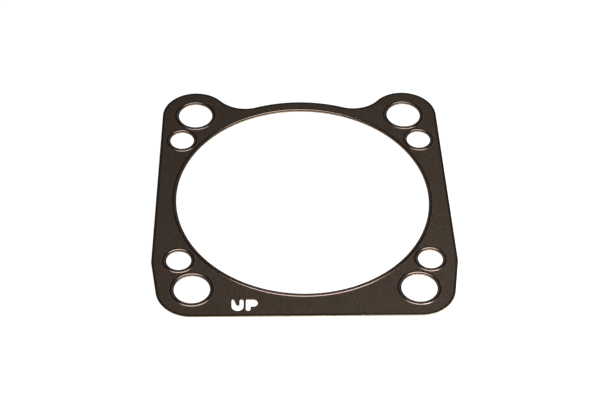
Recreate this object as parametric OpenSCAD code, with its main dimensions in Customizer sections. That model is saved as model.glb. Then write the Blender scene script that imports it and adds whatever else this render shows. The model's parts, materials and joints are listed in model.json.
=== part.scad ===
// Cylinder base gasket: one blanked and embossed sheet of coated spring steel.
// It lies on its under face. The origin is on that face, on the bore's axis, the straight
// near edge is towards -Y, and the beads are pressed up towards +Z.

/* [Sheet] */
// Thickness of the coated steel sheet
sheet_t = 0.5; // [0.3:0.05:0.8]
// Distance from the bore's axis to the straight near edge
near_edge = 65.8; // [62:0.1:70]
// Radius of the two near corners
corner_r = 14.9; // [10:0.1:18]
// Half width across the two blunt side corners, where the sheet is widest
side_corner_x = 63.6; // [62:0.1:70]
// Distance of the side corners from the bore's axis, towards the near edge
side_corner_y = 36.5; // [25:0.5:42]

/* [Bore] */
// Diameter of the bore, which the cylinder's spigot passes through
bore_d = 108; // [100:0.5:110]
// Width of the land between the bore and the crown on the far side
crown_land = 5.85; // [4:0.05:8]

/* [Stud holes] */
// Diameter of the four stud holes in the corners
stud_hole_d = 14.8; // [10:0.1:15.4]
// Distance between the stud holes from left to right
stud_spacing_x = 93; // [88:0.5:98]
// Distance between the stud holes from near to far
stud_spacing_y = 102.6; // [102:0.2:108]
// Width of the land round a stud hole on the two far bosses
boss_land = 7.25; // [5:0.05:8]
// Radius of the hollow fillets between the far bosses and the crown
fillet_r = 14.6; // [10:0.1:20]

/* [Passage holes] */
// Diameter of the four smaller passage holes beside the stud holes
passage_d = 10.3; // [6:0.1:10.5]
// Distance between the passage holes from left to right
passage_spacing_x = 104.4; // [102:0.8:107.6]
// Distance between the passage holes from near to far
passage_spacing_y = 71; // [69:1:74]

/* [Beads] */
// Height of the beads above the flat of the sheet
bead_h = 0.2; // [0.1:0.05:0.35]
// Width of the bead round the bore
bore_bead_w = 1.4; // [1.2:0.1:2.2]
// Width of the flat rim between the bore's edge and its bead
bore_rim = 0.5; // [0.2:0.05:0.6]
// Width of the bead round each stud and passage hole
hole_bead_w = 1.4; // [1:0.05:1.5]
// Width of the flat rim between a hole's edge and its bead
hole_rim = 0.55; // [0.15:0.05:0.65]

/* [Hidden] */

$fn = 120;
// Depth by which lines and arcs that touch run into each other, so that they meet cleanly
blend = 0.002;
bore_r = bore_d / 2;
crown_r = bore_r + crown_land;
boss_r = stud_hole_d / 2 + boss_land;
stud_at = [stud_spacing_x, stud_spacing_y] / 2;
passage_at = [passage_spacing_x, passage_spacing_y] / 2;
side_corner_at = [side_corner_x, -side_corner_y];
corner_at = [stud_at.x, corner_r - near_edge - blend];

// Each hole as its centre, radius, flat rim and bead width
HOLES = [
    [[0, 0], bore_r, bore_rim, bore_bead_w],
    for (side = [-1, 1], end = [-1, 1])
        [[side * stud_at.x, end * stud_at.y], stud_hole_d / 2, hole_rim, hole_bead_w],
    for (side = [-1, 1], end = [-1, 1])
        [[side * passage_at.x, end * passage_at.y], passage_d / 2, hole_rim, hole_bead_w]
];

function direction(v) = atan2(v.y, v.x);
function polar(r, a) = [r * cos(a), r * sin(a)];

// Point where a line from p touches the circle (c, r); turn is 1 or -1 for its two tangents
function touch(p, c, r, turn) = c + polar(r, direction(p - c) + turn * acos(r / norm(p - c)));

// Angle at the origin of a triangle whose sides there are a and b, opposite the side c
function corner_angle(a, b, c) = acos((a * a + b * b - c * c) / (2 * a * b));

// Centre of the fillet that touches the crown, about the origin, and the right far boss
crown_to_fillet = crown_r + fillet_r - blend;
boss_to_fillet = boss_r + fillet_r - blend;
fillet_at = polar(
    crown_to_fillet,
    direction(stud_at) + corner_angle(norm(stud_at), crown_to_fillet, boss_to_fillet)
);
fillet_to_crown = polar(crown_r, direction(fillet_at));
fillet_to_boss = stud_at + polar(boss_r, direction(fillet_at - stud_at));

// Right half of the outline's straight-sided core, from the near edge to the crown
half_core = [
    [0, -near_edge],
    [corner_at.x, -near_edge],
    touch(side_corner_at, corner_at, corner_r - blend, -1),
    side_corner_at,
    touch(side_corner_at, stud_at, boss_r - blend, 1),
    fillet_to_boss,
    fillet_to_crown,
    [0, fillet_to_crown.y]
];

// Right half of the sheet's outline: the core with its round corner and boss, less the fillet
module half_outline() {
    difference() {
        union() {
            polygon(half_core);
            translate(corner_at) circle(corner_r);
            translate(stud_at) circle(boss_r);
        }
        translate(fillet_at) circle(fillet_r);
    }
}

module outline() {
    half_outline();
    mirror([1, 0]) half_outline();
    circle(crown_r);
}

// Area under a bead's ridge, on the x axis: a crest arc and two foot arcs of one radius
module ridge(w) {
    arc_r = (w * w / 4 + bead_h * bead_h) / (4 * bead_h);
    intersection() {
        translate([0, bead_h - arc_r]) circle(arc_r);
        translate([-w / 4, 0]) square([w / 2, bead_h]);
    }
    for (side = [-1, 1])
        difference() {
            translate([side * w * 3 / 8 - w / 8, 0]) square([w / 4, bead_h / 2]);
            translate([side * w / 2, arc_r]) circle(arc_r);
        }
}

// Section of the sheet beside a hole: the flat rim, then the ridge with its groove beneath
module bead_section(rim, w) {
    difference() {
        union() {
            square([rim + w, sheet_t]);
            translate([rim + w / 2, sheet_t]) ridge(w);
        }
        translate([rim + w / 2, 0]) ridge(w);
    }
}

module bead_ring(hole) {
    translate(hole[0])
        rotate_extrude()
            translate([hole[1], 0]) bead_section(hole[2], hole[3]);
}

module gasket() {
    color([0.24, 0.2, 0.17]) {
        linear_extrude(sheet_t)
            difference() {
                outline();
                for (hole = HOLES)
                    translate(hole[0]) circle(hole[1] + hole[2] + hole[3]);
            }
        for (hole = HOLES)
            bead_ring(hole);
    }
}

gasket();
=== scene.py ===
"""The looks of a cylinder base gasket: one blanked and embossed sheet of coated spring steel.

The sheet's sizes are in millimetres, and MM turns them into metres where they go into the mesh or
the camera. The floor and the lamps are in metres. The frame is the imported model's own: the bore's
axis is +Z, and the straight near edge is towards -Y.
"""

import json
import math

import bpy
import numpy as np
from mathutils import Matrix, Vector
from mathutils.geometry import tessellate_polygon


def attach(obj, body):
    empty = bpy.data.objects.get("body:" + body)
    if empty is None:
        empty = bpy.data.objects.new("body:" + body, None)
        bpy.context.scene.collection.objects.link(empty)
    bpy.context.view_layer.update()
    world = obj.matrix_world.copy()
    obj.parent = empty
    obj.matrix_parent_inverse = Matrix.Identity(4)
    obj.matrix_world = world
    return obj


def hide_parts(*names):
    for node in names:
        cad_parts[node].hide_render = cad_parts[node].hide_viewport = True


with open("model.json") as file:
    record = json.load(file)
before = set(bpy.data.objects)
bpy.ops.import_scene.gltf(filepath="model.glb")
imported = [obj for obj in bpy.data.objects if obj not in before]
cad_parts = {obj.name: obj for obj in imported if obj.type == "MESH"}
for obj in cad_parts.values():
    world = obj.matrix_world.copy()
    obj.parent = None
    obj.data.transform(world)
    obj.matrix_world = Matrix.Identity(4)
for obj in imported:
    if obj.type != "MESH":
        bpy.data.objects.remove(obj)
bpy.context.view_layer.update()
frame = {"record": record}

MM = 0.001
TURN = 2 * math.pi

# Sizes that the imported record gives
mounts = {mount["name"]: mount["dims"] for mount in frame["record"]["mounts"]}
bore, studs, passages = (mounts[k] for k in ("cylinder_bore", "stud_holes", "passage_holes"))
bore_r = bore["r_mm"]
sheet_t = bore["length_mm"]
stud_at = np.array([studs["spacing_x_mm"], studs["spacing_y_mm"]]) / 2
passage_at = np.array([passages["spacing_x_mm"], passages["spacing_y_mm"]]) / 2

# Sizes of the outline
near_edge = 65.8
corner_r = 14.9
side_corner_at = np.array([63.6, -36.5])
crown_land = 5.85
boss_land = 7.25
crown_r = bore_r + crown_land
boss_r = studs["hole_r_mm"] + boss_land
fillet_r = 14.6

# Sizes of the beads
bead_h = 0.2
bore_rim, bore_bead_w = 0.5, 1.4
hole_rim, hole_bead_w = 0.55, 1.4

# Punched edges: width and drop of the upper edge that the punch draws down, at the outline and
# the letters and at the round holes, and height of the burr underneath
edge_roll = (0.08, 0.06)
hole_roll = (0.12, 0.06)
burr = 0.02

# Distances from the edge at which the painted shade along the edge begins and is darkest, at the
# outline and at the letters, and distance from a bead's foot at which the painted shade begins
edge_margins = (1.2, 0.7)
letter_margins = (0.3, 0.2)
foot_margin = 0.02

# Lift at which a bead is fully burnished
burnish_lift = 0.03

# Fineness of the mesh: points round a hole, steps in a section or a corner, degrees from point to
# point on an arc, and the angle from which an edge is sharp, in degrees
BORE_POINTS, HOLE_POINTS = 720, 180
BEAD_STEPS, ROLL_STEPS, LETTER_STEPS = 16, 6, 8
ARC_STEP, CROWN_STEP = 1.0, 0.5
SHARP_FROM = 35

# Names of the shares that the mesh carries, from 0 to 1: how far the metal is burnished by
# pressing, bare from cutting, and how far painted shade darkens its coating
SHARES = ("pressed", "bare", "darkened")

# Finish of the steel. Colours are linear, and a pair of them is what a noise runs between
COAT_TINTS = ((0.036, 0.0263, 0.0174), (0.039, 0.0261, 0.0187))
METAL_TINTS = ((0.37, 0.28, 0.175), (0.50, 0.39, 0.27))
BURNISHED = (0.265, 0.198, 0.17, 1)
MOTTLE_LIGHT = (0.64, 1.36)
# Grey that the painted shade at the edges and the beads' feet multiplies the coating by
PAINTED_EDGE_SHADE = 0.22
COAT_ROUGHNESS, BEAD_ROUGHNESS = 0.48, 0.2
COAT_SPECULAR = 0.25
BUMP_STRENGTH, BUMP_HEIGHT = 0.1, 0.00002

# Noises of the coating: scale per metre, detail, and the part of their range that is used
PATCHES, PATCH_SPAN = {"Scale": 55.0, "Detail": 2.0}, (0.38, 0.62)
MOTTLE, MOTTLE_SPAN = {"Scale": 1450.0, "Detail": 3.0}, (0.3, 0.7)

# Floor: half its side and its height in metres, its grey, and the light of its own that it shows
FLOOR_REACH, FLOOR_Z = 20.0, -0.00002
FLOOR_GREY, FLOOR_GLOW = 0.3, 0.85


def polar(radius, angles):
    """Points at a radius from the origin: radius times (cosine, sine) of each angle."""
    return radius * np.stack([np.cos(angles), np.sin(angles)], axis=-1)


def direction(vector):
    """Angle of a plan vector, anticlockwise from +X."""
    return math.atan2(vector[1], vector[0])


def touch(point, centre, radius, turn):
    """Point where a line from a point touches a circle: the tangent's foot lies at the angle of
    point from centre, turned by the arc cosine of radius over distance."""
    away = point - centre
    swing = math.acos(radius / np.hypot(*away))
    return centre + polar(radius, direction(away) + turn * swing)


def arc(centre, radius, start, end, turn, step=ARC_STEP):
    """Points along a circle from one direction to another, turn being 1 for anticlockwise, at
    most step degrees apart, with the outward unit vector of the circle at each point."""
    first = direction(start - centre)
    swing = (turn * (direction(end - centre) - first)) % TURN
    count = max(2, math.ceil(math.degrees(swing) / step))
    units = polar(1.0, first + turn * np.linspace(0, swing, count + 1))
    return centre + radius * units, units


def outline_loop():
    """The sheet's edge, anticlockwise, with the unit vectors that point into the metal.

    The right half runs from the near edge round the corner, past the blunt side corner, round
    the far boss and through the hollow fillet to the crown. The left half mirrors it. The
    fillet's centre is the third corner of a triangle with the bore's and the boss's centres,
    found from its three sides.
    """
    corner_at = np.array([stud_at[0], corner_r - near_edge])
    origin = np.zeros(2)
    to_stud = np.hypot(*stud_at)
    to_crown = crown_r + fillet_r
    to_boss = boss_r + fillet_r
    spread = math.acos((to_stud**2 + to_crown**2 - to_boss**2) / (2 * to_stud * to_crown))
    fillet_at = polar(to_crown, direction(stud_at) + spread)
    crown_end = polar(crown_r, direction(fillet_at))
    boss_end = stud_at + polar(boss_r, direction(fillet_at - stud_at))
    corner_start = corner_at - [0, corner_r]
    corner_end = touch(side_corner_at, corner_at, corner_r, -1)
    boss_start = touch(side_corner_at, stud_at, boss_r, 1)
    middle = np.array([0, crown_r])

    side_units = [(corner_end - corner_at) / corner_r, (boss_start - stud_at) / boss_r]
    side_unit = sum(side_units) / np.hypot(*sum(side_units))
    corner_points, corner_units = arc(corner_at, corner_r, corner_start, corner_end, 1)
    boss_points, boss_units = arc(stud_at, boss_r, boss_start, boss_end, 1)
    fillet_points, fillet_units = arc(fillet_at, fillet_r, boss_end, crown_end, -1)
    crown_points, crown_units = arc(origin, crown_r, crown_end, middle, 1, CROWN_STEP)

    points = np.concatenate([
        corner_points, [side_corner_at], boss_points, fillet_points[1:-1], crown_points,
    ])
    outward = np.concatenate([
        corner_units, [side_unit], boss_units, -fillet_units[1:-1], crown_units,
    ])
    flip = np.array([-1, 1])
    points = np.concatenate([points, (points * flip)[-2::-1]])
    outward = np.concatenate([outward, (outward * flip)[-2::-1]])
    return points, -outward


def hole_loop(centre, radius, count):
    """A round hole's edge, clockwise so that the metal is on its left, with unit vectors that
    point into the metal: the cosine and sine of falling angles."""
    units = polar(1.0, -TURN * np.arange(count) / count)
    return centre + radius * units, units


def rounded_loop(corners, radii):
    """A polygon with each corner rounded by its own radius, and unit vectors to its right.

    A corner's arc touches both sides at radius times the tangent of half the turn from the
    corner. Its centre lies a radius to the inner side of the incoming side's touching point.
    """
    corners = np.array(corners, float)
    radii = np.array(radii, float)
    along = np.roll(corners, -1, axis=0) - corners
    along /= np.hypot(*along.T)[:, None]
    before = np.roll(along, 1, axis=0)
    turn = np.arctan2(
        before[:, 0] * along[:, 1] - before[:, 1] * along[:, 0], (before * along).sum(axis=1)
    )
    starts = corners - before * (radii * np.tan(np.abs(turn) / 2))[:, None]
    left = np.stack([-before[:, 1], before[:, 0]], axis=-1)
    side = np.sign(turn)
    centres = starts + left * (side * radii)[:, None]
    first = np.arctan2(*(-left * side[:, None]).T[::-1])
    angles = first[:, None] + turn[:, None] * np.linspace(0, 1, LETTER_STEPS + 1)
    units = polar(1.0, angles)
    points = centres[:, None] + radii[:, None, None] * units
    right = units * side[:, None, None]
    return points.reshape(-1, 2), right.reshape(-1, 2)


def letter_loops():
    """The cut-out orientation word near the straight edge: a letter U whose two stems stand on
    a solid rounded foot, and a letter P whose bowl has no island to fall out. Each is a list of
    corners, anticlockwise, with the radius of each. The loops are turned round, so that the
    metal is on their left."""
    top, bottom = -56.9, -62.95
    u_left, u_right = -30.35, -25.45
    tongue_left, tongue_right, tongue_end = -28.35, -27.1, -59.95
    tongue_slant = 1.05
    p_left, p_right = -24.55, -19.7
    stem, bowl = 1.9, -60.75
    u_corners = [
        (u_left, top), (u_left, bottom), (u_right, bottom), (u_right, top), (tongue_right, top),
        (tongue_right, tongue_end), (tongue_left, tongue_end), (tongue_left - tongue_slant, top),
    ]
    u_radii = [0.5, 2.35, 2.35, 0.75, 0.75, 0.2, 0.3, 0.3]
    p_corners = [
        (p_left, top), (p_left, bottom), (p_left + stem, bottom), (p_left + stem, bowl),
        (p_right, bowl), (p_right, top),
    ]
    p_radii = [0.5, 0.9, 0.9, 0.3, 1.85, 1.85]
    loops = [rounded_loop(u_corners, u_radii), rounded_loop(p_corners, p_radii)]
    return [(points[::-1], right[::-1]) for points, right in loops]


def ridge(offset, width):
    """Height of a bead at an offset from its crest line: an arc over the middle half of its
    width, and an arc of the same radius, curved the other way, down to each foot."""
    arc_r = (width**2 / 4 + bead_h**2) / (4 * bead_h)
    offset = np.minimum(np.abs(offset), width / 2)
    crest = bead_h - arc_r + np.sqrt(arc_r**2 - np.minimum(offset, width / 4) ** 2)
    foot = arc_r - np.sqrt(arc_r**2 - np.minimum(width / 2 - offset, width / 4) ** 2)
    return np.where(offset < width / 4, crest, foot)


def cut_wall(roll):
    """Section of a punched edge from the upper face to the lower one, as distances into the
    metal, heights, and how far each row is bare.

    It is a quarter ellipse of the roll's width and drop, then the straight wall, and a small
    bevel at the burr. All of it is bare but its first row, where the coating still holds.
    """
    width, drop = roll
    quarter = np.linspace(0, math.pi / 2, ROLL_STEPS + 1)
    into = np.append(width * (1 - np.sin(quarter)), [0, burr])
    height = np.append(sheet_t - drop * (1 - np.cos(quarter)), [burr, 0])
    return into, height, (into < width).astype(float)


def plain_section(margins):
    """Section of a plain edge: flat margin, punched edge, flat margin. Painted shade darkens the
    coating between the two distances of the margin, and nothing is pressed.

    A section is the distances into the metal, the heights, and the values of the three shares.
    """
    into, height, bare = cut_wall(edge_roll)
    # Painted shade: none at the margin's outer distance, full at its inner one and on the punched
    # edge
    flat, painted_dark = np.zeros(2), np.array([0, 1])
    into = np.concatenate([margins, into, margins[::-1]])
    return (
        into,
        np.concatenate([flat + sheet_t, height, flat]),
        np.zeros(len(into)),
        np.concatenate([flat, bare, flat]),
        np.concatenate([painted_dark, np.ones(len(bare)), painted_dark[::-1]]),
    )


def bead_section(rim, width):
    """Section of the sheet beside a hole: down the upper side of the bead from its far foot to
    the rim, over the punched edge, and back up the groove that the bead leaves beneath, which
    has half as many steps.

    The bead counts as pressed in proportion to its lift, fully from burnish_lift upwards. Painted
    shade darkens the coating along the bead's two feet and is plain again on the rim.
    """
    crest = rim + width / 2
    foot = width / 2 + foot_margin
    upper = np.append(foot, np.linspace(width / 2, -width / 2, BEAD_STEPS + 1))
    lower = np.append(np.linspace(-width / 2, width / 2, BEAD_STEPS // 2 + 1), foot)
    into, height, bare = cut_wall(hole_roll)
    plain = np.zeros(len(into))
    lifts = ridge(upper, width), ridge(lower, width)
    pressed = [np.clip(lift / burnish_lift, 0, 1) for lift in lifts]
    # Painted shade on every row of the bead but its outer foot's margin row, and none on the
    # punched edge
    painted_dark = [np.ones(len(side) - 1) for side in (upper, lower)]
    return (
        np.concatenate([crest + upper, into, crest + lower]),
        np.concatenate([sheet_t + lifts[0], height, lifts[1]]),
        np.concatenate([pressed[0], plain, pressed[1]]),
        np.concatenate([np.zeros(len(upper)), bare, np.zeros(len(lower))]),
        np.concatenate([[0], painted_dark[0], plain, painted_dark[1], [0]]),
    )


def edges():
    """Every edge of the sheet as its loop and its section: outline, letters, bore, holes."""
    found = [(outline_loop(), plain_section(edge_margins))]
    found += [(loop, plain_section(letter_margins)) for loop in letter_loops()]
    bore_loop = hole_loop(np.zeros(2), bore_r, BORE_POINTS)
    found.append((bore_loop, bead_section(bore_rim, bore_bead_w)))
    for at, pattern in ((stud_at, studs), (passage_at, passages)):
        for signs in ((-1, -1), (-1, 1), (1, -1), (1, 1)):
            loop = hole_loop(at * signs, pattern["hole_r_mm"], HOLE_POINTS)
            found.append((loop, bead_section(hole_rim, hole_bead_w)))
    return found


def signed_area(triangle_points):
    """Area of each plan triangle, positive when its corners run anticlockwise."""
    a, b, c = np.moveaxis(triangle_points, 1, 0)
    return ((b - a)[:, 0] * (c - a)[:, 1] - (b - a)[:, 1] * (c - a)[:, 0]) / 2


def web_triangles(points, rings, upwards):
    """Flat fill between closed rings of vertices, turned to face up or down."""
    loops = [[Vector((*points[i, :2], 0)) for i in ring] for ring in rings]
    order = np.concatenate(rings)
    triangles = order[np.array(tessellate_polygon(loops))]
    wrong = (signed_area(points[triangles][:, :, :2]) > 0) != upwards
    triangles[wrong] = triangles[wrong][:, ::-1]
    return triangles


def add_object(name, data):
    """A new object in the scene, at the origin."""
    made = bpy.data.objects.new(name, data)
    bpy.context.scene.collection.objects.link(made)
    return made


def build_sheet():
    """The whole sheet as one closed mesh.

    Each edge loop carries its section: a vertex is its loop point plus the inward vector times
    the section's distance, at the section's height. The first rows of all loops bound the flat
    upper web, and the last rows bound the lower one.
    """
    points, quads, upper_rings, lower_rings = [], [], [], []
    shares = {name: [] for name in SHARES}
    start = 0
    for (loop, inward), (into, height, *section_shares) in edges():
        plan = loop[None] + inward[None] * into[:, None, None]
        level = np.broadcast_to(height[:, None, None], (*plan.shape[:2], 1))
        points.append(np.concatenate([plan, level], axis=2).reshape(-1, 3))
        index = start + np.arange(len(into) * len(loop)).reshape(len(into), len(loop))
        following = np.roll(index, -1, axis=1)
        corners = [index[:-1], index[1:], following[1:], following[:-1]]
        quads.append(np.stack(corners, axis=-1).reshape(-1, 4))
        upper_rings.append(index[0])
        lower_rings.append(index[-1])
        for share, values in zip(shares.values(), section_shares):
            share.append(np.repeat(values, len(loop)))
        start += index.size
    points = np.concatenate(points)
    faces = np.concatenate(quads).tolist()
    faces += web_triangles(points, upper_rings, True).tolist()
    faces += web_triangles(points, lower_rings, False).tolist()

    mesh = bpy.data.meshes.new("gasket_sheet")
    mesh.from_pydata((points * MM).tolist(), [], faces)
    for name, values in shares.items():
        layer = mesh.attributes.new(name, "FLOAT", "POINT")
        layer.data.foreach_set("value", np.concatenate(values).astype(np.float32))
    mesh.shade_smooth()
    mesh.set_sharp_from_angle(angle=math.radians(SHARP_FROM))
    return add_object("gasket_sheet", mesh)


def feed(tree, socket, value):
    """Links an input to another node's output, or sets it to a plain value."""
    if isinstance(value, bpy.types.NodeSocket):
        tree.links.new(value, socket)
    else:
        socket.default_value = value


def add_node(tree, kind, settings=None, **inputs):
    """A shader node with its settings, and its inputs fed by name. Underscores in a name stand
    for spaces."""
    node = tree.nodes.new(kind)
    for key, value in (settings or {}).items():
        setattr(node, key, value)
    for key, value in inputs.items():
        feed(tree, node.inputs[key.replace("_", " ")], value)
    return node


def add_math(tree, operation, first, second):
    """Output of an operation on two values, kept between 0 and 1."""
    node = add_node(tree, "ShaderNodeMath", {"operation": operation, "use_clamp": True})
    feed(tree, node.inputs[0], first)
    feed(tree, node.inputs[1], second)
    return node.outputs[0]


def add_ramp(tree, factor, colors, span=(0.0, 1.0)):
    """Colour output of a ramp between two colours, over the factor's values in the span."""
    node = add_node(tree, "ShaderNodeValToRGB", Fac=factor)
    for element, position, color in zip(node.color_ramp.elements, span, colors):
        element.position = position
        element.color = (*color, 1)
    return node.outputs["Color"]


def add_mix(tree, factor, first, second, blend_type="MIX"):
    """Colour output of a mix between two colours. By number, because the node has several
    sockets of one name: input 0 is the factor, 6 and 7 are the colours, and so is output 2."""
    node = add_node(tree, "ShaderNodeMix", {"data_type": "RGBA", "blend_type": blend_type})
    for number, value in ((0, factor), (6, first), (7, second)):
        feed(tree, node.inputs[number], value)
    return node.outputs[2]


def grey(level):
    """A neutral colour of one level."""
    return (level, level, level)


def new_material(name):
    """An empty node material and its tree."""
    material = bpy.data.materials.new(name)
    material.use_nodes = True
    material.node_tree.nodes.clear()
    return material, material.node_tree


def coated_steel():
    """Satin grey-brown coating with a fine mottle, burnished where the beads were pressed, and
    warm bare steel where the sheet was cut.

    The coating's colour is its tint times the light of the mottle times the painted shade at edges
    and feet. The steel is metallic by the greater of its pressed and bare shares.
    """
    material, tree = new_material("coated_spring_steel")
    place = add_node(tree, "ShaderNodeTexCoord").outputs["Object"]
    pressed, bare, darkened = (
        add_node(tree, "ShaderNodeAttribute", {"attribute_name": name}).outputs["Fac"]
        for name in SHARES
    )
    patches, mottle = (
        add_node(tree, "ShaderNodeTexNoise", Vector=place, **noise).outputs["Fac"]
        for noise in (PATCHES, MOTTLE)
    )

    tint = add_ramp(tree, patches, COAT_TINTS, PATCH_SPAN)
    light = add_ramp(tree, mottle, [grey(level) for level in MOTTLE_LIGHT], MOTTLE_SPAN)
    # Painted shade: the coating is multiplied down to a grey at the edges and the beads' feet
    painted_dark = add_ramp(tree, darkened, (grey(1), grey(PAINTED_EDGE_SHADE)))
    coat = add_mix(tree, 1.0, add_mix(tree, 1.0, tint, light, "MULTIPLY"), painted_dark, "MULTIPLY")
    metal = add_ramp(tree, mottle, METAL_TINTS, MOTTLE_SPAN)
    color = add_mix(tree, bare, add_mix(tree, pressed, coat, BURNISHED), metal)

    rough = add_node(
        tree, "ShaderNodeMapRange", Value=pressed, To_Min=COAT_ROUGHNESS, To_Max=BEAD_ROUGHNESS
    )
    bump = add_node(
        tree, "ShaderNodeBump", Strength=BUMP_STRENGTH, Distance=BUMP_HEIGHT, Height=mottle
    )
    shader = add_node(
        tree, "ShaderNodeBsdfPrincipled", Base_Color=color,
        Metallic=add_math(tree, "MAXIMUM", bare, pressed), Roughness=rough.outputs["Result"],
        IOR=1.5, Specular_IOR_Level=COAT_SPECULAR, Normal=bump.outputs["Normal"],
    )
    add_node(tree, "ShaderNodeOutputMaterial", Surface=shader.outputs["BSDF"])
    return material


def white_floor():
    """Pale floor that shows white to the eye and in reflections, and still takes a shadow: only
    camera, glossy and transmission rays see the light that it gives."""
    material, tree = new_material("white_floor")
    rays = add_node(tree, "ShaderNodeLightPath").outputs
    seen = add_math(tree, "ADD", rays["Is Camera Ray"], rays["Is Glossy Ray"])
    seen = add_math(tree, "ADD", seen, rays["Is Transmission Ray"])
    shader = add_node(
        tree, "ShaderNodeBsdfPrincipled", Base_Color=(*grey(FLOOR_GREY), 1), Roughness=1.0,
        Specular_IOR_Level=0.0, Emission_Color=(1, 1, 1, 1),
        Emission_Strength=add_math(tree, "MULTIPLY", seen, FLOOR_GLOW),
    )
    add_node(tree, "ShaderNodeOutputMaterial", Surface=shader.outputs["BSDF"])
    return material


def build_floor():
    """A wide flat square just under the sheet."""
    corners = [
        (x * FLOOR_REACH, y * FLOOR_REACH, FLOOR_Z) for x, y in ((-1, -1), (1, -1), (1, 1), (-1, 1))
    ]
    mesh = bpy.data.meshes.new("floor")
    mesh.from_pydata(corners, [], [(0, 1, 2, 3)])
    mesh.materials.append(white_floor())
    return add_object("floor", mesh)


def add_softbox(name, place, size, power):
    """A rectangular lamp that faces the origin, with its place and size in metres and its power
    in watts."""
    data = bpy.data.lights.new(name, "AREA")
    data.shape = "RECTANGLE"
    data.size, data.size_y = size
    data.energy = power
    lamp = add_object(name, data)
    lamp.location = place
    lamp.rotation_euler = (-Vector(place)).to_track_quat("-Z", "Y").to_euler()


def set_world(strength):
    """Plain white surroundings of one strength."""
    world = bpy.data.worlds.new("surroundings")
    world.use_nodes = True
    background = world.node_tree.nodes["Background"]
    background.inputs["Color"].default_value = (1, 1, 1, 1)
    background.inputs["Strength"].default_value = strength
    bpy.context.scene.world = world


def set_camera():
    """Camera from the photograph: focal length in pixels of a picture 600 wide, azimuth,
    elevation and roll in degrees, and the floor point that the picture's centre shows."""
    picture_w, focal_px = 600, 1786.6
    azimuth, elevation, roll = (math.radians(a) for a in (-2.527, 46.197, 1.494))
    distance = 764.5
    target = Vector((-1.156, -0.80, 0)) * MM
    back = Vector((
        math.sin(azimuth) * math.cos(elevation),
        -math.cos(azimuth) * math.cos(elevation),
        math.sin(elevation),
    ))
    level = Vector((math.cos(azimuth), math.sin(azimuth), 0))
    upright = back.cross(level)
    right = math.cos(roll) * level + math.sin(roll) * upright
    up = back.cross(right)
    data = bpy.data.cameras.new("camera")
    data.sensor_width = 36
    data.lens = focal_px * data.sensor_width / picture_w
    camera = add_object("camera", data)
    camera.matrix_world = Matrix.Translation(target + back * distance * MM) @ Matrix(
        (right, up, back)
    ).transposed().to_4x4()
    bpy.context.scene.camera = camera


set_camera()
bpy.context.scene.view_settings.view_transform = "Standard"
set_world(strength=0.035)
add_softbox("overhead", place=(0.04, -0.2, 1.4), size=(1.54, 0.62), power=9.8)
add_softbox("right_front", place=(0.17, -0.19, 0.25), size=(0.15, 0.15), power=1.34)
add_softbox("right_rear", place=(0.4, 0.55, 0.42), size=(0.5, 0.5), power=0.08)
build_floor()

sheet = build_sheet()
sheet.data.materials.append(coated_steel())
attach(sheet, "root")
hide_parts("gasket")
